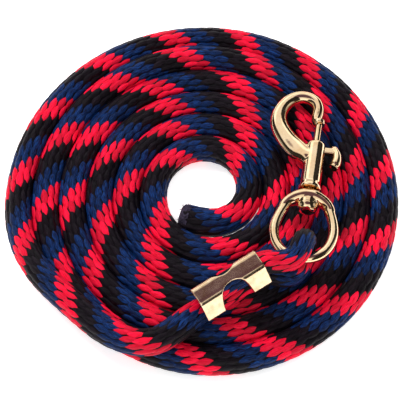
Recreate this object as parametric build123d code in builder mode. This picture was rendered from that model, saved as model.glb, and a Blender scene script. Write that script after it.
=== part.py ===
"""Horse lead rope: a flat coil of 16 mm solid braid with a crimped eye, a brass swivel and a bolt snap.

Frame: millimetres, +Z up, origin under the middle of the coil, on the surface that it lies on.
The rope's free end is in the middle of the coil, and the snap lies across the coil's right half.
"""

import os
from math import cos, hypot, radians, sin, tan

from build123d import *

# Rope
ROPE = 16.0  # diameter of the braid
SQUEEZED = 13.0  # thickness of the braid where it is pressed around the swivel eye
COIL_RADIUS = 116.0  # outside of the outermost turn
COIL_EDGE = 7.0  # rounding of the outermost turn
HOLE_CENTRE = (0.8, -3.3)
HOLE_X = 20.0  # half widths of the oval hole inside the innermost turn
HOLE_Y = 27.0

# Clamp: a brass strip folded over two strands that lie one on the other
CLAMP_TOP = (15.5, -75.5, 45.8)  # middle of the clamp's top face
CLAMP_TURN = 31.6  # plan angle of its axis
CLAMP_RISE = 8.3  # how far the axis climbs towards the eye
CLAMP_LENGTH = 42.6
CLAMP_WALL = 1.4
CLAMP_FLARE = 24  # how far its sides lean outwards, from upright
TOP_ROOM = 9.2  # width inside the clamp, under its top
LOWER_STRAND_WIDTH = 16.4
STRAND_HEIGHT = 12.4
STRAND_ROUNDING = 4.5
PRONG_HEIGHT = 13.4
TOP_ROUNDING = 2.4  # inside the clamp's top corners
NOTCH_LENGTH = 19.4
WAIST = 6.0

# Bolt snap: local frame with x to the side, y from the eye to the hook, z up out of the snap
SNAP_ORIGIN = (63.7, -9.0, 27.9)  # middle of the barrel's rear face
SNAP_TURN = 8.0  # plan angle of the barrel from +Y, clockwise
SNAP_DIP = 6.2  # how far the barrel dips towards the hook
BARREL = 11.8
BARREL_LENGTH = 34.5
BARREL_FLARE = 13.6
BORE = 8.2
BORE_START = 5.0
FRONT_WALL = 2.0
BOLT = 4.0
BOLT_TIP = 50.4
BOLT_TRAVEL = 11.0
NOSE_END = 49.4
PISTON_REAR = 26.8
PISTON_LENGTH = 5.5
KNOB_ARM = 29.8  # place of the thumb knob's arm along the barrel
KNOB_ARM_WIDTH = 3.6
KNOB_ARM_THICK = 3.4
KNOB_REACH = 11.2
SPRING_WIRE = 0.8
SPRING_RADIUS = 3.0
SPRING_TURNS = 7
RUNNING = 0.05  # radial clearance of every turning or sliding fit

# Swivel eye
EYE_BAR = 6.0
EYE_RADIUS = 17.0  # centreline of the round bottom
EYE_BOTTOM = -48.2  # centreline of the bar that the rope goes round
STRAP_FACE = -0.25
STRAP_LINE = [(-14.5, -16), (-11.2, -9), (0, -4.75), (11.2, -9), (14.5, -16)]
# Place along that line, width and thickness of the strap's oval section
STRAP_SECTIONS = [(0, 4.8, 4.8), (0.22, 7, 8.6), (0.42, 9, 12.4), (0.58, 9, 12.4), (0.78, 7, 8.6), (1, 4.8, 4.8)]
STRAP_STATIONS = 14
BOSS_FACE = -11.0
BOSS = 10.8
RIVET_SHANK = 5.0
RIVET_HEAD = 12.0
RIVET_DOME = 4.0

os.makedirs("parts", exist_ok=True)


def save(solid, name):
    """Label a finished piece and write it."""
    solid.label = name
    export_step(solid, f"parts/{name}.step")


def corner_radii(points):
    """The radius that each inner corner's two runs allow."""
    radii = []
    for before, here, after in zip(points, points[1:], points[2:]):
        run_in = Vector(*here) - Vector(*before)
        run_out = Vector(*after) - Vector(*here)
        half_turn = radians(run_in.get_angle(run_out)) / 2
        radii.append(0.45 * min(run_in.length, run_out.length) / tan(half_turn))
    return radii


def report_tube(name, route, solid, diameter):
    """Print the tube's corner radii, and its volume against its section times its length."""
    radii = ", ".join(f"{radius:.0f}" for radius in corner_radii(route))
    wire = FilletPolyline(*route, radius=corner_radii(route), mode=Mode.PRIVATE)
    expected = 3.14159 * diameter**2 / 4 * wire.length
    print(f"{name}: length {wire.length:.0f}, radii {radii}, volume ratio {solid.volume / expected:.3f}")


# Rope: the coil, its free end, the lead, the clamped strands and the loop round the eye

with BuildPart() as rope_coil:
    with BuildSketch():
        Circle(COIL_RADIUS)
        with Locations(HOLE_CENTRE):
            Ellipse(HOLE_X, HOLE_Y, mode=Mode.SUBTRACT)
    extrude(amount=ROPE)
    fillet(rope_coil.edges().filter_by(GeomType.CIRCLE), COIL_EDGE)
save(rope_coil.part, "rope_coil")

FREE_END_ROUTE = [(27.2, -6, 8), (20.5, -15.5, 8), (6, -20.8, 8), (-11, -15.2, 8)]

with BuildPart() as rope_free_end:
    with BuildLine() as free_end_path:
        FilletPolyline(*FREE_END_ROUTE, radius=corner_radii(FREE_END_ROUTE))
    with BuildSketch(free_end_path.line ^ 0):
        Circle(ROPE / 2)
    sweep()
save(rope_free_end.part, "rope_free_end")

LEAD_ROUTE = [
    (-1, -85.7, 23.9),
    (-14, -98, 24.2),
    (-28, -107.2, 24.2),
    (-50.5, -101, 22.5),
    (-75, -77.5, 21),
    (-93, -56.5, 16),
    (-104.2, -32, 10),
]

with BuildPart() as rope_lead:
    with BuildLine() as lead_path:
        FilletPolyline(*LEAD_ROUTE, radius=corner_radii(LEAD_ROUTE))
    with BuildSketch(lead_path.line ^ 0):
        Circle(ROPE / 2)
    sweep()
save(rope_lead.part, "rope_lead")

EYE_LOOP_ROUTE = [
    (35.4, -63.3, 41.6),
    (45, -64.5, 42.9),
    (55.3, -61.5, 43.4),
    (60.2, -46.7, 43.4),
    (60.2, -46.7, 22.8),
    (55.3, -61.5, 22.8),
    (46.5, -64, 25),
    (36.9, -62.4, 29.3),
]

with BuildPart() as rope_eye_loop:
    with BuildLine() as eye_loop_path:
        FilletPolyline(*EYE_LOOP_ROUTE, radius=corner_radii(EYE_LOOP_ROUTE))
    with BuildSketch(eye_loop_path.line ^ 0):
        Circle(SQUEEZED / 2)
    sweep()
save(rope_eye_loop.part, "rope_eye_loop")

report_tube("rope_free_end", FREE_END_ROUTE, rope_free_end.part, ROPE)
report_tube("rope_lead", LEAD_ROUTE, rope_lead.part, ROPE)
report_tube("rope_eye_loop", EYE_LOOP_ROUTE, rope_eye_loop.part, SQUEEZED)

# Clamp frame: x along the strands towards the eye, y across them, z up through both strands
clamp_axis = Vector(
    cos(radians(CLAMP_RISE)) * cos(radians(CLAMP_TURN)),
    cos(radians(CLAMP_RISE)) * sin(radians(CLAMP_TURN)),
    sin(radians(CLAMP_RISE)),
)
clamp_across = Vector(-sin(radians(CLAMP_TURN)), cos(radians(CLAMP_TURN)), 0)
clamp_top = Plane(origin=CLAMP_TOP, x_dir=clamp_axis, z_dir=clamp_axis.cross(clamp_across))
clamp_section = Plane(origin=CLAMP_TOP, x_dir=clamp_across, z_dir=clamp_axis)
UPPER_STRAND = -CLAMP_WALL - STRAND_HEIGHT / 2
LOWER_STRAND = UPPER_STRAND - STRAND_HEIGHT

lean = tan(radians(CLAMP_FLARE))
side_wall = CLAMP_WALL / cos(radians(CLAMP_FLARE))


def clamp_outline(margin, high, low):
    """The corners of a symmetric outline whose sides run this far outside the clamp's inner faces."""
    half_high = TOP_ROOM / 2 + margin - (high + CLAMP_WALL) * lean
    half_low = TOP_ROOM / 2 + margin - (low + CLAMP_WALL) * lean
    return [(-half_high, high), (half_high, high), (half_low, low), (-half_low, low)]


with BuildPart() as rope_clamped_strands:
    with BuildSketch(clamp_section.offset(-CLAMP_LENGTH / 2)):
        with Locations((0, LOWER_STRAND)):
            RectangleRounded(LOWER_STRAND_WIDTH, STRAND_HEIGHT, STRAND_ROUNDING)
    extrude(amount=CLAMP_LENGTH)
    with BuildSketch(clamp_section.offset(2.5 - CLAMP_LENGTH / 2)) as upper:
        Polygon(*clamp_outline(0, -CLAMP_WALL, -CLAMP_WALL - STRAND_HEIGHT), align=None)
        fillet(upper.vertices().group_by(Axis.Y)[-1], TOP_ROUNDING)
        fillet(upper.vertices().group_by(Axis.Y)[0], STRAND_ROUNDING)
    extrude(amount=CLAMP_LENGTH - 2.5)
save(rope_clamped_strands.part, "rope_clamped_strands")

with BuildPart() as rope_clamp:
    with BuildSketch(clamp_section.offset(-CLAMP_LENGTH / 2)) as channel:
        Polygon(*clamp_outline(side_wall, 0, -PRONG_HEIGHT), align=None)
        fillet(channel.vertices().group_by(Axis.Y)[-1], TOP_ROUNDING + CLAMP_WALL)
        with BuildSketch(clamp_section.offset(-CLAMP_LENGTH / 2), mode=Mode.SUBTRACT) as hollow:
            Polygon(*clamp_outline(0, -CLAMP_WALL, -PRONG_HEIGHT - 1), align=None)
            fillet(hollow.vertices().group_by(Axis.Y)[-1], TOP_ROUNDING)
    extrude(amount=CLAMP_LENGTH)
    with BuildSketch(clamp_top):
        arch_centre = WAIST / 2 + NOTCH_LENGTH / 2
        with Locations((0, arch_centre), (0, -arch_centre)):
            Circle(NOTCH_LENGTH / 2)
        with Locations((0, arch_centre + PRONG_HEIGHT / 2), (0, -arch_centre - PRONG_HEIGHT / 2)):
            Rectangle(NOTCH_LENGTH, PRONG_HEIGHT)
    extrude(amount=-2 * PRONG_HEIGHT, mode=Mode.SUBTRACT)
save(rope_clamp.part, "rope_clamp")

# Snap frame
snap_side = Vector(cos(radians(SNAP_TURN)), -sin(radians(SNAP_TURN)), 0)
snap_along = Vector(
    cos(radians(SNAP_DIP)) * sin(radians(SNAP_TURN)),
    cos(radians(SNAP_DIP)) * cos(radians(SNAP_TURN)),
    -sin(radians(SNAP_DIP)),
)
snap_flat = Plane(origin=SNAP_ORIGIN, x_dir=snap_side, z_dir=snap_side.cross(snap_along))


def snap_station(along):
    """The plane across the barrel's axis at a place along it, facing the hook."""
    origin = Vector(*SNAP_ORIGIN) + snap_along * along
    return Plane(origin=origin, x_dir=snap_side, z_dir=snap_along)


barrel_axis = Axis(SNAP_ORIGIN, snap_along)

# Hook: centreline from inside the barrel round to the nose, in the snap's own plane
HOOK_LINE = [(-1.5, 20), (-8.5, 27.5), (-17, 35), (-23, 45), (-23.7, 56), (-12, 68.2), (-1.6, 60.5), (0, NOSE_END)]
# Place along that line, width and thickness of the hook's oval section
HOOK_SECTIONS = [(0, 9, 9), (0.16, 13.5, 8.8), (0.36, 11, 8.4), (0.52, 8.8, 8), (0.76, 7.2, 7), (1, 6.2, 6.2)]
HOOK_STATIONS = 16


def oval_stations(path, sections, stations):
    """Planes across a flat path, each with its oval's half sizes read off between the given sections."""
    ovals = []
    for station in range(stations + 1):
        place = station / stations
        after = next(i for i, section in enumerate(sections) if section[0] >= place)
        low, high = sections[max(after - 1, 0)], sections[after]
        share = (place - low[0]) / max(high[0] - low[0], 1e-9)
        width = low[1] + share * (high[1] - low[1])
        thickness = low[2] + share * (high[2] - low[2])
        tangent = path % place
        plane = Plane(origin=path @ place, x_dir=tangent.cross(snap_flat.z_dir), z_dir=tangent)
        ovals.append((plane, width / 2, thickness / 2))
    return ovals


with BuildPart() as snap_body:
    with BuildLine(snap_flat) as hook_path:
        Spline(*HOOK_LINE, tangents=((-1, 1), (0, -1)))
    for plane, half_width, half_thickness in oval_stations(hook_path.line, HOOK_SECTIONS, HOOK_STATIONS):
        with BuildSketch(plane):
            Ellipse(half_width, half_thickness)
    loft()
    # Nose collar with the recess that the bolt's tip enters
    with BuildSketch(snap_station(NOSE_END - 0.4)):
        Circle(3.5)
    extrude(amount=2.6)
    # Barrel: flared rear, plain tube, domed shoulder, all turned about its axis
    with BuildSketch(snap_flat):
        with BuildLine():
            Polyline(
                (0, 0), (BARREL_FLARE / 2, 0), (BARREL_FLARE / 2, 1.6), (BARREL / 2, 4.5),
                (BARREL / 2, BARREL_LENGTH - 2.5),
            )
            ThreePointArc(
                (BARREL / 2, BARREL_LENGTH - 2.5),
                (BARREL / 2 - 0.75, BARREL_LENGTH - 0.75),
                (BARREL / 2 - 2.5, BARREL_LENGTH),
            )
            Polyline((BARREL / 2 - 2.5, BARREL_LENGTH), (0, BARREL_LENGTH), (0, 0))
        make_face()
    revolve(axis=barrel_axis)
    # Bore for the bolt's piston and the spring, guide hole, nose recess and rivet seat
    with BuildSketch(snap_station(BORE_START)):
        Circle(BORE / 2)
    extrude(amount=BARREL_LENGTH - FRONT_WALL - BORE_START, mode=Mode.SUBTRACT)
    with BuildSketch(snap_station(0)):
        Circle(RIVET_SHANK / 2)
    extrude(amount=BORE_START, mode=Mode.SUBTRACT)
    with BuildSketch(snap_station(BARREL_LENGTH - FRONT_WALL)):
        Circle(BOLT / 2 + RUNNING)
    extrude(amount=BOLT_TIP + 0.4 - BARREL_LENGTH + FRONT_WALL, mode=Mode.SUBTRACT)
    # Slot that the thumb knob's arm slides in
    with BuildSketch(Plane(origin=SNAP_ORIGIN, x_dir=snap_along, z_dir=snap_side)):
        slot_front = KNOB_ARM + KNOB_ARM_WIDTH / 2 + 0.1
        slot_rear = KNOB_ARM - BOLT_TRAVEL - KNOB_ARM_WIDTH / 2 - 0.3
        with Locations(((slot_front + slot_rear) / 2, 0)):
            Rectangle(slot_front - slot_rear, KNOB_ARM_THICK + 0.2)
    extrude(amount=BARREL, mode=Mode.SUBTRACT)
save(snap_body.part, "snap_body")

with BuildPart() as bolt:
    with BuildSketch(snap_station(PISTON_REAR)):
        Circle(BORE / 2 - RUNNING)
    extrude(amount=PISTON_LENGTH)
    with BuildSketch(snap_station(PISTON_REAR)):
        Circle(BOLT / 2)
    extrude(amount=BOLT_TIP - PISTON_REAR)
    # Cross hole that the thumb knob's arm is pressed into
    with BuildSketch(Plane(origin=snap_station(KNOB_ARM).origin, x_dir=snap_along, z_dir=snap_side)):
        Rectangle(KNOB_ARM_WIDTH, KNOB_ARM_THICK)
    extrude(amount=BORE, mode=Mode.SUBTRACT)
save(bolt.part, "bolt")

LOBE_SECTIONS = [(0, 2.4, 2.4), (0.12, 4.2, 4.2), (0.4, 5.2, 5.2), (0.8, 6.2, 6.2), (0.94, 5, 5), (1, 2.6, 2.6)]
LOBE_STATIONS = 16

with BuildPart() as thumb_knob:
    # Arm
    with BuildSketch(Plane(origin=snap_station(KNOB_ARM).origin, x_dir=snap_along, z_dir=snap_side)):
        Rectangle(KNOB_ARM_WIDTH, KNOB_ARM_THICK)
    extrude(amount=KNOB_REACH)
    # Thumb lobe, a drop that hangs back along the barrel
    with BuildLine(snap_flat) as lobe_path:
        Spline((KNOB_REACH - 1.5, 33.6), (KNOB_REACH + 1.3, 29), (KNOB_REACH + 0.6, 18.5))
    for plane, half_width, half_thickness in oval_stations(lobe_path.line, LOBE_SECTIONS, LOBE_STATIONS):
        with BuildSketch(plane):
            Ellipse(half_width, half_thickness)
    loft()
save(thumb_knob.part, "thumb_knob")

with BuildPart() as bolt_spring:
    spring_rear = BORE_START + SPRING_WIRE / 2 + 0.1
    spring_height = PISTON_REAR - SPRING_WIRE / 2 - 0.1 - spring_rear
    half_pitch = spring_height / SPRING_TURNS / 2
    for half in range(2 * SPRING_TURNS):
        hand = 1 if half % 2 == 0 else -1
        with BuildLine(snap_station(spring_rear + half * half_pitch)) as half_turn:
            ThreePointArc(
                (hand * SPRING_RADIUS, 0, 0),
                (0, hand * hypot(SPRING_RADIUS, half_pitch / 2), half_pitch / 2),
                (-hand * SPRING_RADIUS, 0, half_pitch),
            )
        with BuildSketch(half_turn.line ^ 0):
            Circle(SPRING_WIRE / 2)
        sweep()
save(bolt_spring.part, "bolt_spring")

EYE_CENTRE = EYE_BOTTOM + EYE_RADIUS
EYE_DIAGONAL = EYE_RADIUS * sin(radians(45))
RING_RIGHT = [(EYE_DIAGONAL, EYE_CENTRE - EYE_DIAGONAL), (EYE_RADIUS, EYE_CENTRE), (15.6, -20), (11.5, -9.5)]
RING_LEFT = [(-side, along) for side, along in reversed(RING_RIGHT)]
RING_LINE = [*RING_LEFT, (0, EYE_BOTTOM), *RING_RIGHT]

with BuildPart() as swivel_eye:
    # Ring: one round bar from the strap's left end, under the bottom and up to its right end
    with BuildLine(snap_flat) as ring_path:
        Spline(*RING_LINE)
    with BuildSketch(ring_path.line ^ 0):
        Circle(EYE_BAR / 2)
    sweep()
    # Boss, and the strap over it
    with BuildSketch(snap_station(BOSS_FACE)):
        Circle(BOSS / 2)
    extrude(amount=STRAP_FACE - BOSS_FACE - 2)
    with BuildLine(snap_flat) as strap_path:
        Spline(*STRAP_LINE)
    for plane, half_width, half_thickness in oval_stations(strap_path.line, STRAP_SECTIONS, STRAP_STATIONS):
        with BuildSketch(plane):
            Ellipse(half_width, half_thickness)
    loft()
    # Hole for the rivet
    with BuildSketch(snap_station(BOSS_FACE - 1)):
        Circle(RIVET_SHANK / 2 + RUNNING)
    extrude(amount=2 - BOSS_FACE, mode=Mode.SUBTRACT)
save(swivel_eye.part, "swivel_eye")

with BuildPart() as swivel_rivet:
    head_face = BOSS_FACE - 0.15
    with BuildSketch(snap_station(head_face - RIVET_DOME)):
        Circle(RIVET_HEAD / 2)
    extrude(amount=RIVET_DOME)
    fillet(swivel_rivet.edges().sort_by(barrel_axis)[0], 3.7)
    with BuildSketch(snap_station(head_face)):
        Circle(RIVET_SHANK / 2)
    extrude(amount=BORE_START - head_face)
save(swivel_rivet.part, "swivel_rivet")
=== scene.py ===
"""Looks of the horse lead rope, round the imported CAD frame. Metres, +Z up; only the route is in mm."""

import math

import bpy
import numpy as np
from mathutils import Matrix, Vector


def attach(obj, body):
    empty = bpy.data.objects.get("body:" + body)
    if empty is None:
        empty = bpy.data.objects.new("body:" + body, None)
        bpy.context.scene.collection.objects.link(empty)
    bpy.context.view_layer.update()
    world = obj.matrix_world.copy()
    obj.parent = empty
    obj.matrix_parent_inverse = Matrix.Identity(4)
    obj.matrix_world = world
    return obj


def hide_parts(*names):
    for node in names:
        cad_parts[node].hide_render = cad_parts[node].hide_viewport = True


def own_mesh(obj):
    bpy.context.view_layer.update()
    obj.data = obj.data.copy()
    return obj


MM = 0.001
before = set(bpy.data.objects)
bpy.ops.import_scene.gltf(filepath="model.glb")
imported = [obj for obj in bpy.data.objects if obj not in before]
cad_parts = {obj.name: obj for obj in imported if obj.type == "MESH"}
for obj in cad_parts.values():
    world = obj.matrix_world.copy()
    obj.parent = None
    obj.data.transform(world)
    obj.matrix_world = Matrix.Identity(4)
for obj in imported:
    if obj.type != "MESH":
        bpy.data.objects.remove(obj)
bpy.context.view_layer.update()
rng = np.random.default_rng(7)

# Camera: 60 degrees above the horizon, in front of the coil
CAMERA_TARGET = Vector((0.1, 1.0, 0)) * MM
CAMERA_DISTANCE = 1.55
CAMERA_ELEVATION = math.radians(60)
CAMERA_LENS = 235.8
SENSOR_WIDTH = 36


def add_camera():
    """The scene's camera, looking at the middle of the coil."""
    data = bpy.data.cameras.new("camera")
    data.sensor_width = SENSOR_WIDTH
    data.lens = CAMERA_LENS
    data.clip_end = 20
    camera = bpy.data.objects.new("camera", data)
    bpy.context.scene.collection.objects.link(camera)
    back = Vector((0, -math.cos(CAMERA_ELEVATION), math.sin(CAMERA_ELEVATION)))
    camera.location = CAMERA_TARGET + back * CAMERA_DISTANCE
    camera.rotation_euler = back.to_track_quat("Z", "Y").to_euler()
    bpy.context.scene.camera = camera


add_camera()

# Rope route, in mm: from the crimped tail round the eye loop, along the lead and down the coil
# to the free end
CLAMP_TOP = np.array((15.5, -75.5, 45.8))
CLAMP_TURN = math.radians(31.6)
CLAMP_RISE = math.radians(8.3)
CLAMP_AXIS = np.array((
    math.cos(CLAMP_RISE) * math.cos(CLAMP_TURN),
    math.cos(CLAMP_RISE) * math.sin(CLAMP_TURN),
    math.sin(CLAMP_RISE),
))
CLAMP_ACROSS = np.array((-math.sin(CLAMP_TURN), math.cos(CLAMP_TURN), 0))
CLAMP_UP = np.cross(CLAMP_AXIS, CLAMP_ACROSS)
UPPER_STRAND = -7.6  # middles of the two clamped strands, from the clamp's top face
LOWER_STRAND = -20.0
TAIL_END = -19.5  # the crimped tail's cut end, from the clamp's middle


def clamp_point(along, up):
    """A point in the clamp, from its middle along its axis and up from its top face."""
    return tuple(CLAMP_TOP + CLAMP_AXIS * along + CLAMP_UP * up)


TAIL = [clamp_point(TAIL_END, UPPER_STRAND), clamp_point(0, UPPER_STRAND)]
EYE_LOOP = [
    (35.4, -63.3, 41.6), (45, -64.5, 42.9), (55.3, -61.5, 43.4), (60.2, -46.7, 43.4),
    (60.2, -46.7, 22.8), (55.3, -61.5, 22.8), (46.5, -64, 25), (36.9, -62.4, 29.3),
]
LOWER = [clamp_point(0, LOWER_STRAND)]
LEAD = [
    (-1, -85.7, 23.9), (-14, -98, 24.2), (-28, -107.2, 24.2), (-50.5, -101, 22.5),
    (-75, -77.5, 21), (-93, -56.5, 16), (-104.2, -32, 10),
]
FREE_END = [(27.2, -6, 8), (20.5, -15.5, 8), (6, -20.8, 8), (-11, -15.2, 8)]

# Coil: turns counted from the inner turn's right side, and followed inwards from the lead
COIL_START = 5.5
COIL_POINTS = 24
COIL_STEPS = 133
COIL_CENTRE = (4.8, 1.3)
COIL_DRIFT = -1.1  # how far the middle moves back with each turn
COIL_HEIGHT = 8
INNER_RADIUS = 25.55
TURN_PITCH = 16.15
INNER_OVAL = 1.1  # how far each turn is from round: longer along Y than along X
OVAL_GROWTH = 0.35
CROSSING = 4.27  # place, width and height of the hump over the lead's end
CROSSING_WIDTH = 0.11
CROSSING_LIFT = 3.6


def coil_point(u):
    """A point of the coil, u turns counter-clockwise from the inner turn's right side."""
    angle = 2 * math.pi * u
    grow = 1 / math.cos(math.pi / COIL_POINTS)
    radius = (INNER_RADIUS + TURN_PITCH * u) * grow
    oval = INNER_OVAL + OVAL_GROWTH * u
    lift = CROSSING_LIFT * math.exp(-(((u - CROSSING) / CROSSING_WIDTH) ** 2))
    return (
        COIL_CENTRE[0] + math.cos(angle) * (radius - oval),
        COIL_CENTRE[1] + COIL_DRIFT * u + math.sin(angle) * (radius + oval),
        COIL_HEIGHT + lift,
    )


coil = [coil_point(COIL_START - step / COIL_POINTS) for step in range(COIL_STEPS)]
ROUTE = TAIL + EYE_LOOP + LOWER + LEAD + coil + FREE_END
ROUTE_RESOLUTION = 10
SAME_POINT = 1e-7


def nurbs_points(name, points, resolution):
    """The points that a smooth spline through this route follows, in metres."""
    data = bpy.data.curves.new(name, "CURVE")
    data.dimensions = "3D"
    spline = data.splines.new("NURBS")
    spline.points.add(len(points) - 1)
    for control, point in zip(spline.points, points):
        control.co = (point[0] * MM, point[1] * MM, point[2] * MM, 1)
    spline.order_u = 3
    spline.use_endpoint_u = True
    spline.resolution_u = resolution
    route = bpy.data.objects.new(name, data)
    bpy.context.scene.collection.objects.link(route)
    bpy.context.view_layer.update()
    mesh = bpy.data.meshes.new_from_object(route)
    found = np.array([v.co for v in mesh.vertices], float)
    bpy.data.objects.remove(route)
    return found


def unit(vectors):
    """The same vectors, one long."""
    return vectors / np.linalg.norm(vectors, axis=-1, keepdims=True)


path = nurbs_points("rope_route", ROUTE, ROUTE_RESOLUTION)
step_lengths = np.linalg.norm(np.diff(path, axis=0), axis=1)
path = path[np.concatenate(([True], step_lengths > SAME_POINT))]
arc = np.concatenate(([0.0], np.cumsum(np.linalg.norm(np.diff(path, axis=0), axis=1))))
ROPE_LENGTH = float(arc[-1])
tangents = unit(np.gradient(path, arc, axis=0))


def untwisted_normals():
    """A normal at each point of the path, carried along the rope from the clamp without twisting."""
    carried = np.zeros_like(path)
    normal = unit(CLAMP_UP)
    for i, tangent in enumerate(tangents):
        normal = unit(normal - tangent * (normal @ tangent))
        carried[i] = normal
    return carried


normals = untwisted_normals()


def along_path(values, s):
    """Values given at each point of the path, read off at arc lengths s."""
    return np.stack([np.interp(s, arc, values[:, k]) for k in range(3)], -1)


def rope_frame(s):
    """Centre, tangent, normal and side of the rope at arc lengths s."""
    s = np.clip(s, 0, ROPE_LENGTH)
    centre = along_path(path, s)
    t = unit(along_path(tangents, s))
    n = along_path(normals, s)
    n = unit(n - t * np.sum(n * t, axis=-1, keepdims=True))
    return centre, t, n, np.cross(t, n)


# Where the rope is pressed: in the clamp, round the eye, and between the coil's turns
def nearest_arc(point):
    """The arc length at the path's point nearest to a point in mm."""
    return float(arc[np.argmin(np.linalg.norm(path - np.array(point) * MM, axis=1))])


S_UPPER = nearest_arc(clamp_point(0, UPPER_STRAND))
S_LOWER = nearest_arc(clamp_point(0, LOWER_STRAND))
HALF_CLAMP = 0.0213
LOOP_SQUEEZE = 0.17
CLAMP_SIDE_SQUEEZE = 0.08
CLAMP_SQUEEZE = 0.235
TURN_SPREAD = 0.05  # how much wider than round the coil's turns are
TURN_SPREAD_TILT = 0.06  # and how much more so at the coil's front than at its middle
LOOP_EASE = (0.020, 0.030)  # past the clamped strands, where the eye loop's squeeze sets in
COIL_EASE = (0.20, 0.26)  # past the lower clamped strand, where the turns' spread sets in
CLAMP_EASE = (-0.001, 0.008)  # past the clamp's ends, where its squeeze fades out


def smooth(low, high, value):
    """0 below low, 1 above high, smooth between."""
    t = np.clip((value - low) / (high - low), 0, 1)
    return t * t * (3 - 2 * t)


def scaled_along(offset, direction, change):
    """Offsets stretched by a share of their own length along a direction."""
    return offset + (change * np.sum(offset * direction, axis=-1))[..., None] * direction


def rope_surface(s, angle, radius):
    """Points on the rope: arc length s, angle round it, and radius before it is pressed."""
    centre, t, n, b = rope_frame(s)
    offset = radius[..., None] * (np.cos(angle)[..., None] * n + np.sin(angle)[..., None] * b)
    into_loop = smooth(S_UPPER + LOOP_EASE[0], S_UPPER + LOOP_EASE[1], s)
    out_of_loop = smooth(S_LOWER - LOOP_EASE[1], S_LOWER - LOOP_EASE[0], s)
    loop = into_loop * (1 - out_of_loop)
    offset = offset * (1 - LOOP_SQUEEZE * loop)[..., None]
    radial = unit(centre * (1, 1, 0))
    coiled = smooth(S_LOWER + COIL_EASE[0], S_LOWER + COIL_EASE[1], s)
    offset = scaled_along(offset, radial, (TURN_SPREAD - TURN_SPREAD_TILT * radial[..., 1]) * coiled)
    clamp_gap = np.minimum(np.abs(s - S_UPPER), np.abs(s - S_LOWER))
    pressed = 1 - smooth(HALF_CLAMP + CLAMP_EASE[0], HALF_CLAMP + CLAMP_EASE[1], clamp_gap)
    offset = scaled_along(offset, CLAMP_ACROSS, -CLAMP_SIDE_SQUEEZE * pressed)
    offset = scaled_along(offset, CLAMP_UP, -CLAMP_SQUEEZE * pressed)
    return centre + offset


# Mesh helpers
def new_object(name, vertices, faces, attribute=None):
    """A mesh object from arrays, smooth shaded, with an optional vector attribute."""
    mesh = bpy.data.meshes.new(name)
    mesh.from_pydata(vertices.reshape(-1, 3).tolist(), [], faces)
    mesh.polygons.foreach_set("use_smooth", [True] * len(mesh.polygons))
    if attribute is not None:
        layer = mesh.attributes.new("yarn", "FLOAT_VECTOR", "POINT")
        layer.data.foreach_set("vector", attribute.astype(np.float32).ravel())
    mesh.update()
    made = bpy.data.objects.new(name, mesh)
    bpy.context.scene.collection.objects.link(made)
    return made


def grid_faces(count, rows, columns, start=0, wrap=False):
    """Quads of many grids of rows x columns points."""
    across = columns if wrap else columns - 1
    i, j = np.meshgrid(np.arange(rows - 1), np.arange(across), indexing="ij")
    k = (j + 1) % columns
    quad = np.stack([i * columns + j, (i + 1) * columns + j, (i + 1) * columns + k, i * columns + k], -1)
    quad = quad.reshape(1, -1, 4) + (np.arange(count) * rows * columns)[:, None, None] + start
    return quad.reshape(-1, 4).tolist()


def tube_caps(rings, sides, start=0):
    """The two end faces of a tube of rings with so many sides."""
    first_ring = [start + k for k in range(sides)]
    last_ring = [start + (rings - 1) * sides + k for k in range(sides)]
    return [first_ring[::-1], last_ring]


# Braid: twelve wales of leaf-shaped stitches, half a pitch apart from one to the next
WALES = 12
PITCH = 0.00792
STITCH = 0.0130
STITCH_WIDTH = 0.0056
STITCH_SHEAR = 0.14
SLANT = math.radians(-1.5)
UNEVEN = 0.05
BASE_RADIUS = 0.0069
PEAK_RADIUS = 0.0080
ALONG = 8
ACROSS = 6
# The braid is stretched in some places and bunched in others: stitches gained by each place along the rope
DRIFT_AT = (0, 0.07, 0.098, 0.128, 0.165, 0.45, 0.675, 1.2, 1.62, 1.9, 2.15, 2.6, 2.85)
DRIFT = (0, 0, -2, -2, 0, 0, -2.1, -2.35, -2.7, -0.3, 0.45, 1.5, -0.4)
FIRST_STITCH = 0.0035  # the nearest that a stitch's middle comes to the tail's end, and to the free end
LAST_STITCH = ROPE_LENGTH - 0.004
# The inside of the braid, a tube in the black yarn seen only between stitches: it paints shade into the gaps
CORE_RADIUS = 0.0073
CORE_STEP = 0.0028
CORE_SIDES = 16
CORE_END = 0.004


def place_stitches():
    """Arc length, angle, index along its wale and own random value of each stitch."""
    ruler = np.linspace(0, ROPE_LENGTH, 3000)
    rows = ruler / PITCH - np.interp(ruler, DRIFT_AT, DRIFT)
    wale, index = np.meshgrid(np.arange(WALES), np.arange(-WALES // 2 - 1, int(rows[-1]) + 1), indexing="ij")
    wale, index = wale.ravel(), index.ravel()
    row = index + 0.5 + wale / 2
    inside = (row > rows[0]) & (row < rows[-1])
    wale, index, row = wale[inside], index[inside], row[inside]
    s = np.interp(row, rows, ruler)
    clear = (s > FIRST_STITCH) & (s < LAST_STITCH)
    return s[clear], 2 * math.pi * wale[clear] / WALES, index[clear], rng.random(int(clear.sum()))


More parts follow.
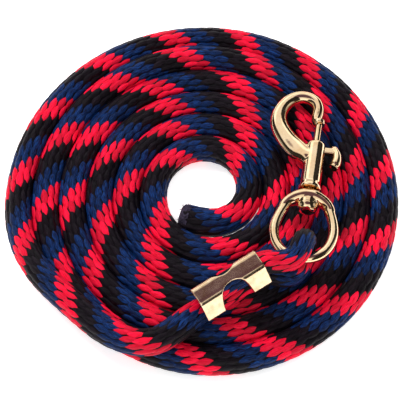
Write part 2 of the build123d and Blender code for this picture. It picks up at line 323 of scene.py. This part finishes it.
def stitch_grid(s_middle, angle_middle, seed):
    """Vertices and yarn coordinates of many stitches at once: (stitch, along, across, 3)."""
    along, across = np.meshgrid(np.linspace(-1, 1, ALONG + 1), np.linspace(-1, 1, ACROSS + 1), indexing="ij")
    outline = np.clip(1 - np.abs(along) ** 1.5, 0, 1)
    width = 0.06 + 0.94 * outline
    arch = np.clip(np.cos(across * math.pi / 2), 0, 1) ** 0.7
    crown = np.clip(1 - np.abs(along) ** 3, 0, 1) ** 0.8
    count = len(s_middle)
    scale = 1 + UNEVEN * rng.standard_normal(count)[:, None, None]
    tilt = SLANT + UNEVEN * rng.standard_normal(count)[:, None, None]
    s = s_middle[:, None, None] + (along - STITCH_SHEAR * across) * STITCH / 2 * scale
    radius = BASE_RADIUS + (PEAK_RADIUS - BASE_RADIUS) * arch * crown * np.clip(scale, 0.9, 1.04)
    sideways = across * width * STITCH_WIDTH / 2 * scale + along * np.tan(tilt) * STITCH / 2
    angle = angle_middle[:, None, None] + sideways / PEAK_RADIUS
    yarn = np.stack(np.broadcast_arrays(along, across, seed[:, None, None]), -1)
    return rope_surface(s, angle, radius).reshape(-1, 3), yarn.reshape(-1, 3)


def braid_core(start):
    """Vertices, yarn coordinates and faces of the braid's inside, its vertices counted from start."""
    rings = int(ROPE_LENGTH / CORE_STEP)
    s, angle = np.meshgrid(
        np.linspace(0, ROPE_LENGTH, rings),
        np.linspace(0, 2 * math.pi, CORE_SIDES, endpoint=False),
        indexing="ij",
    )
    end = np.minimum(s, ROPE_LENGTH - s)
    radius = CORE_RADIUS * np.sqrt(np.clip(0.15 + end / CORE_END, 0, 1))
    vertices = rope_surface(s, angle, radius).reshape(-1, 3)
    yarn = np.zeros((len(vertices), 3))
    # An own value of -1, which the shader holds at its darkest tone: more painted shade in the gaps
    yarn[:, 2] = -1
    faces = grid_faces(1, rings, CORE_SIDES, start=start, wrap=True) + tube_caps(rings, CORE_SIDES, start)
    return vertices, yarn, faces


stitch_s, stitch_angle, stitch_index, stitch_seed = place_stitches()
# Along each wale two stitches are red, two navy and two black
stitch_colour = (stitch_index + 1) % 6 // 2

pieces = {}
for code, name in enumerate(("rope_red_yarn", "rope_navy_yarn", "rope_black_yarn")):
    chosen = stitch_colour == code
    vertices, yarn = stitch_grid(stitch_s[chosen], stitch_angle[chosen], stitch_seed[chosen])
    faces = grid_faces(int(chosen.sum()), ALONG + 1, ACROSS + 1)
    # The core, painted shade between the stitches, is given the black yarn
    if name == "rope_black_yarn":
        core_vertices, core_yarn, core_faces = braid_core(len(vertices))
        vertices = np.concatenate([vertices, core_vertices])
        yarn = np.concatenate([yarn, core_yarn])
        faces += core_faces
    pieces[name] = new_object(name, vertices, faces, yarn)


# Free end: the cut and melted braid, with loose fibres standing out of it
TIP_RINGS = 9
TIP_SIDES = 40
TIP_RADIUS = 0.0077
TIP_LENGTH = 0.0062
TIP_OVERLAP = 0.0050  # how far back over the braid it reaches
TIP_ROUNDED_FROM = 0.55
FIBRES = 260
FIBRE_RADIUS = 0.00009
FIBRE_RINGS = 4
FIBRE_SIDES = 3
FIBRE_ROOT_RADIUS = 0.0074


def melted_tip():
    """The lumpy cap of melted yarn on the rope's cut end."""
    dome, around = np.meshgrid(
        np.linspace(0, 1, TIP_RINGS),
        np.linspace(0, 2 * math.pi, TIP_SIDES, endpoint=False),
        indexing="ij",
    )
    lumps = 1 + 0.07 * np.sin(5 * around + 1.0) * dome + 0.05 * np.sin(9 * around + 7 * dome)
    lumps = lumps + 0.03 * rng.standard_normal(dome.shape)
    rounding = np.clip((dome - TIP_ROUNDED_FROM) / (1 - TIP_ROUNDED_FROM), 0, 1)
    radius = TIP_RADIUS * np.sqrt(np.clip(1 - rounding ** 2.6, 0.0004, 1)) * lumps
    centre, forward, normal, side = rope_frame(np.full_like(dome, ROPE_LENGTH))
    points = centre + (dome * TIP_LENGTH - TIP_OVERLAP)[..., None] * forward
    outward = np.cos(around)[..., None] * normal + np.sin(around)[..., None] * side
    points = points + radius[..., None] * outward
    faces = grid_faces(1, TIP_RINGS, TIP_SIDES, wrap=True) + tube_caps(TIP_RINGS, TIP_SIDES)
    return new_object("rope_melted_tip", points, faces, np.zeros((points.size // 3, 3)))


def fibre_points():
    """The vertices of one loose fibre: thin, three-sided and curling out of the free end."""
    turn_at = rng.uniform(0, 2 * math.pi)
    start_s = ROPE_LENGTH - rng.uniform(-0.001, 0.006)
    reach = rng.uniform(0.0012, 0.0036)
    base = rope_frame(np.array([min(start_s, ROPE_LENGTH)]))
    centre, forward, normal, side = (found[0] for found in base)
    out = math.cos(turn_at) * normal + math.sin(turn_at) * side
    depth = rng.uniform(0.55, 1.0) if start_s > ROPE_LENGTH - 0.002 else 1.0
    root = centre + forward * max(start_s - ROPE_LENGTH, 0) + out * FIBRE_ROOT_RADIUS * depth
    heading = out * rng.uniform(0.2, 1.0) + forward * rng.uniform(0.2, 1.3)
    heading = unit(heading + 0.5 * rng.standard_normal(3))
    curl = rng.standard_normal(3) * 0.5
    across = unit(np.cross(heading, (0.3, 0.5, 0.8)))
    up = np.cross(heading, across)
    points = []
    for share in np.linspace(0, 1, FIBRE_RINGS):
        place = root + reach * (heading * share + curl * share * share * 0.5)
        place[2] = max(place[2], 0.0002)
        slim = FIBRE_RADIUS * (1 - 0.6 * share)
        for corner in range(FIBRE_SIDES):
            angle = 2 * math.pi * corner / FIBRE_SIDES
            points.append(place + slim * (math.cos(angle) * across + math.sin(angle) * up))
    return points


def fibre_faces(start):
    """The faces of one fibre, its vertices counted from start."""
    faces = []
    for low in range(start, start + (FIBRE_RINGS - 1) * FIBRE_SIDES, FIBRE_SIDES):
        high = low + FIBRE_SIDES
        for corner in range(FIBRE_SIDES):
            after = (corner + 1) % FIBRE_SIDES
            faces.append([low + corner, low + after, high + after, high + corner])
    return faces + tube_caps(FIBRE_RINGS, FIBRE_SIDES, start)


def loose_fibres():
    """All the fibres that stand out of the free end, as one piece."""
    vertices, faces = [], []
    for _ in range(FIBRES):
        faces += fibre_faces(len(vertices))
        vertices += fibre_points()
    return new_object("rope_loose_fibres", np.array(vertices), faces)


pieces["rope_melted_tip"] = melted_tip()
pieces["rope_loose_fibres"] = loose_fibres()


# Materials
def principled(name, **values):
    """A new material with its node tree, and its Principled shader with these plain socket values."""
    material = bpy.data.materials.new(name)
    material.use_nodes = True
    shader = material.node_tree.nodes["Principled BSDF"]
    for socket, value in values.items():
        shader.inputs[socket.replace("_", " ")].default_value = value
    return material, material.node_tree, shader


def node(tree, kind, inputs=None, **settings):
    """A node with its settings, and its inputs given as values or as sockets to link."""
    made = tree.nodes.new(kind)
    for key, value in settings.items():
        setattr(made, key, value)
    for key, value in (inputs or {}).items():
        if isinstance(value, bpy.types.NodeSocket):
            tree.links.new(value, made.inputs[key])
        else:
            made.inputs[key].default_value = value
    return made


def noise(tree, where, scale, detail, roughness=0.5):
    """The value of a noise texture."""
    settings = {"Vector": where, "Scale": scale, "Detail": detail, "Roughness": roughness}
    return node(tree, "ShaderNodeTexNoise", settings).outputs["Fac"]


def ramp(tree, value, stops):
    """A colour ramp with (place, colour) stops."""
    made = node(tree, "ShaderNodeValToRGB", {"Fac": value})
    elements = made.color_ramp.elements
    while len(elements) < len(stops):
        elements.new(0.5)
    for element, (place, colour) in zip(elements, stops):
        element.position = place
        element.color = (*colour, 1)
    return made.outputs["Color"]


def remap(tree, value, low, high, start=0.0, end=1.0):
    """A value brought from start..end to low..high."""
    settings = {"Value": value, "From Min": start, "From Max": end, "To Min": low, "To Max": high}
    return node(tree, "ShaderNodeMapRange", settings).outputs[0]


def maths(tree, operation, first, second):
    """Two values put together by a maths node."""
    return node(tree, "ShaderNodeMath", {0: first, 1: second}, operation=operation).outputs[0]


def mixed(tree, factor, first, second, how="MIX"):
    """Two colours mixed by a factor."""
    settings = {"Fac": factor, "Color1": first, "Color2": second}
    return node(tree, "ShaderNodeMixRGB", settings, blend_type=how).outputs[0]


def bumped(tree, shader, height, strength, distance):
    """Bump of a shader by a height."""
    bump = node(tree, "ShaderNodeBump", {"Height": height, "Strength": strength, "Distance": distance})
    tree.links.new(bump.outputs[0], shader.inputs["Normal"])


def yarn_material(name, dark, base, light, sheen):
    """Bundles of fine polypropylene fibres: streaks along each stitch, whose light and dark stops are
    painted highlights and painted shade, and painted shade at its dipping ends.
    """
    material, tree, shader = principled(name, Specular_IOR_Level=0.16, Sheen_Roughness=0.4)
    shader.inputs["Sheen Weight"].default_value = sheen
    shader.inputs["Sheen Tint"].default_value = (*light, 1)
    yarn = node(tree, "ShaderNodeAttribute", attribute_name="yarn", attribute_type="GEOMETRY")
    along, across, own = node(tree, "ShaderNodeSeparateXYZ", {"Vector": yarn.outputs["Vector"]}).outputs
    # Fibre streaks: noise stretched along the stitch, with its own place for each stitch; real fibre tone,
    # with painted highlights at the light stop and painted shade at the dark stop
    where = node(tree, "ShaderNodeCombineXYZ", {
        "X": maths(tree, "MULTIPLY", along, 1.2),
        "Y": maths(tree, "MULTIPLY", across, 7.0),
        "Z": maths(tree, "MULTIPLY", own, 37.0),
    })
    fibre = noise(tree, where.outputs[0], scale=1.6, detail=4, roughness=0.6)
    streak = ramp(tree, fibre, [(0.34, dark), (0.48, base), (0.66, light)])
    # Each stitch a little lighter or darker, and darkened with painted shade towards its ends and edges,
    # where they dip under neighbouring stitches
    along_edge = maths(tree, "MULTIPLY", along, along)
    across_edge = maths(tree, "MULTIPLY", across, across)
    edge = maths(tree, "MAXIMUM", along_edge, across_edge)
    # Painted shade: the colour falls to 0.62 towards each stitch's ends and edges
    shade = remap(tree, edge, 1.0, 0.62, start=0.5)
    level = maths(tree, "MULTIPLY", shade, remap(tree, own, 0.66, 1.2))
    tree.links.new(mixed(tree, 1.0, streak, level, "MULTIPLY"), shader.inputs["Base Color"])
    tree.links.new(remap(tree, fibre, 0.34, 0.62), shader.inputs["Roughness"])
    bumped(tree, shader, fibre, strength=0.5, distance=0.0004)
    return material


def melted_material(name, dark, light):
    """Melted and frayed yarn: dark purple-grey, mottled and matt."""
    material, tree, shader = principled(name, Specular_IOR_Level=0.3)
    place = node(tree, "ShaderNodeTexCoord").outputs["Object"]
    mottle = noise(tree, place, scale=700.0, detail=4, roughness=0.7)
    tree.links.new(ramp(tree, mottle, [(0.35, dark), (0.65, light)]), shader.inputs["Base Color"])
    tree.links.new(remap(tree, mottle, 0.5, 0.9), shader.inputs["Roughness"])
    bumped(tree, shader, mottle, strength=0.7, distance=0.0005)
    return material


def metal_material(name, base, deep, roughness):
    """Polished metal: faint darker tarnish, fine polishing marks and a faint bump."""
    material, tree, shader = principled(name, Metallic=1.0)
    place = node(tree, "ShaderNodeTexCoord").outputs["Object"]
    tarnish = noise(tree, place, scale=160.0, detail=5, roughness=0.6)
    tree.links.new(ramp(tree, tarnish, [(0.3, deep), (0.6, base)]), shader.inputs["Base Color"])
    marks = noise(tree, place, scale=900.0, detail=3)
    tree.links.new(remap(tree, marks, roughness * 0.7, roughness * 1.5), shader.inputs["Roughness"])
    bumped(tree, shader, noise(tree, place, scale=220.0, detail=2), strength=0.12, distance=0.0004)
    return material


# Each yarn's dark, base and light colours: the light colour is painted highlight in the streaks and also
# tints the sheen, the dark colour is painted shade
RED = ((0.50, 0, 0.010), (0.84, 0.001, 0.030), (0.98, 0.014, 0.070))
BLACK = ((0.001, 0.0005, 0.001), (0.004, 0.002, 0.004), (0.018, 0.011, 0.019))
NAVY = ((0.001, 0.002, 0.011), (0.002, 0.008, 0.045), (0.006, 0.055, 0.24))
looks = {
    "rope_red_yarn": yarn_material("red_yarn", *RED, sheen=0.01),
    "rope_black_yarn": yarn_material("black_yarn", *BLACK, sheen=0.0),
    "rope_navy_yarn": yarn_material("navy_yarn", *NAVY, sheen=0.01),
    "rope_melted_tip": melted_material("melted_yarn", (0.008, 0.006, 0.013), (0.06, 0.045, 0.085)),
    "rope_loose_fibres": melted_material("loose_fibre", (0.012, 0.008, 0.02), (0.07, 0.05, 0.10)),
}
for name, material in looks.items():
    pieces[name].data.materials.append(material)

snap_brass = metal_material("snap_brass", (0.97, 0.74, 0.47), (0.88, 0.59, 0.32), 0.08)
clamp_brass = metal_material("clamp_brass", (0.90, 0.68, 0.44), (0.66, 0.43, 0.24), 0.15)
steel = metal_material("spring_steel", (0.6, 0.6, 0.62), (0.4, 0.4, 0.42), 0.3)
finishes = {
    "rope_clamp": clamp_brass,
    "swivel_eye": snap_brass,
    "swivel_rivet": snap_brass,
    "snap_body": snap_brass,
    "bolt": snap_brass,
    "thumb_knob": snap_brass,
    "bolt_spring": steel,
}
for name, material in finishes.items():
    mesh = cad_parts[name].data
    mesh.materials.clear()
    mesh.materials.append(material)

# Soft edges on the castings and the stamped clamp: size of the remesh in mm, and rounds of smoothing
SOFTENED = {
    "swivel_eye": (0.32, 14),
    "snap_body": (0.30, 8),
    "thumb_knob": (0.22, 12),
    "rope_clamp": (0.24, 26),
}
for name, (voxel, rounds) in SOFTENED.items():
    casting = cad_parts[name]
    remesh = casting.modifiers.new("soft_edges", "REMESH")
    remesh.mode = "VOXEL"
    remesh.voxel_size = voxel * MM
    remesh.use_smooth_shade = True
    relax = casting.modifiers.new("relax", "SMOOTH")
    relax.factor = 0.5
    relax.iterations = rounds

# The rope stands for its CAD solids
ROPE_SOLIDS = ("rope_coil", "rope_free_end", "rope_lead", "rope_eye_loop", "rope_clamped_strands")
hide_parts(*ROPE_SOLIDS)
for piece in pieces.values():
    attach(piece, "rope")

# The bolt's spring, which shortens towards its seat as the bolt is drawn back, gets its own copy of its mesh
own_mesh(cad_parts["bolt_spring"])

# Floor, world and lights
FLOOR_HALF = 6
FLOOR_HEIGHT = -0.0002


def add_floor():
    """A plain white floor that glows a little, so that it stays white beside the rope."""
    mesh = bpy.data.meshes.new("floor")
    corners = [(-1, -1), (1, -1), (1, 1), (-1, 1)]
    vertices = [(x * FLOOR_HALF, y * FLOOR_HALF, FLOOR_HEIGHT) for x, y in corners]
    mesh.from_pydata(vertices, [], [(0, 1, 2, 3)])
    floor = bpy.data.objects.new("floor", mesh)
    bpy.context.scene.collection.objects.link(floor)
    material, _, shader = principled("floor", Roughness=0.8, Emission_Strength=0.6)
    shader.inputs["Base Color"].default_value = (0.95, 0.95, 0.95, 1)
    shader.inputs["Emission Color"].default_value = (1, 1, 1, 1)
    mesh.materials.append(material)


def grey_stops(*stops):
    """Ramp stops that are grey: (place, level)."""
    return [(place, (level, level, level)) for place, level in stops]


def add_world():
    """White all round for the soft light, and a dark room with bright panels for reflections."""
    world = bpy.data.worlds.new("studio")
    bpy.context.scene.world = world
    world.use_nodes = True
    tree = world.node_tree
    where = node(tree, "ShaderNodeTexCoord").outputs["Generated"]
    sideways, _, upwards = node(tree, "ShaderNodeSeparateXYZ", {"Vector": where}).outputs
    walls = grey_stops((0.50, 0.60), (0.62, 0.75), (0.70, 1.6), (0.77, 1.5), (0.82, 0.92), (0.925, 0.95))
    above = [(0.945, (0.12, 0.07, 0.11)), (1.0, (0.12, 0.07, 0.11))]
    ceiling = ramp(tree, remap(tree, upwards, 0, 1, start=-1), walls + above)
    left = grey_stops((0.0, 0.7), (0.05, 0.02), (0.16, 0.02), (0.19, 1))
    right = grey_stops((0.67, 1), (0.70, 0.02), (0.93, 0.02), (0.97, 0.7))
    flags = ramp(tree, remap(tree, sideways, 0, 1, start=-1), left + right)
    room = mixed(tree, 1.0, ceiling, flags, "MULTIPLY")
    glossy = node(tree, "ShaderNodeLightPath").outputs["Is Glossy Ray"]
    white = node(tree, "ShaderNodeRGB").outputs[0]
    white.default_value = (0.78, 0.78, 0.78, 1)
    background = tree.nodes["Background"]
    tree.links.new(mixed(tree, glossy, white, room), background.inputs["Color"])
    background.inputs["Strength"].default_value = 1.0


def area_light(name, place, size, power):
    """A soft light at a place, aimed at the middle of the coil and left out of reflections."""
    data = bpy.data.lights.new(name, "AREA")
    data.shape = "RECTANGLE"
    data.size, data.size_y = size
    data.energy = power
    lamp = bpy.data.objects.new(name, data)
    bpy.context.scene.collection.objects.link(lamp)
    lamp.location = place
    lamp.rotation_euler = (-Vector(place)).to_track_quat("-Z", "Y").to_euler()
    lamp.visible_glossy = False


add_floor()
add_world()
area_light("key", (-0.7, 0.5, 1.1), (0.5, 0.35), 10)
area_light("fill", (0.8, 0.2, 1.2), (0.4, 0.4), 3)
bpy.context.scene.view_settings.view_transform = "Standard"
bpy.context.scene.view_settings.look = "None"
bpy.context.scene.view_settings.exposure = 0.0
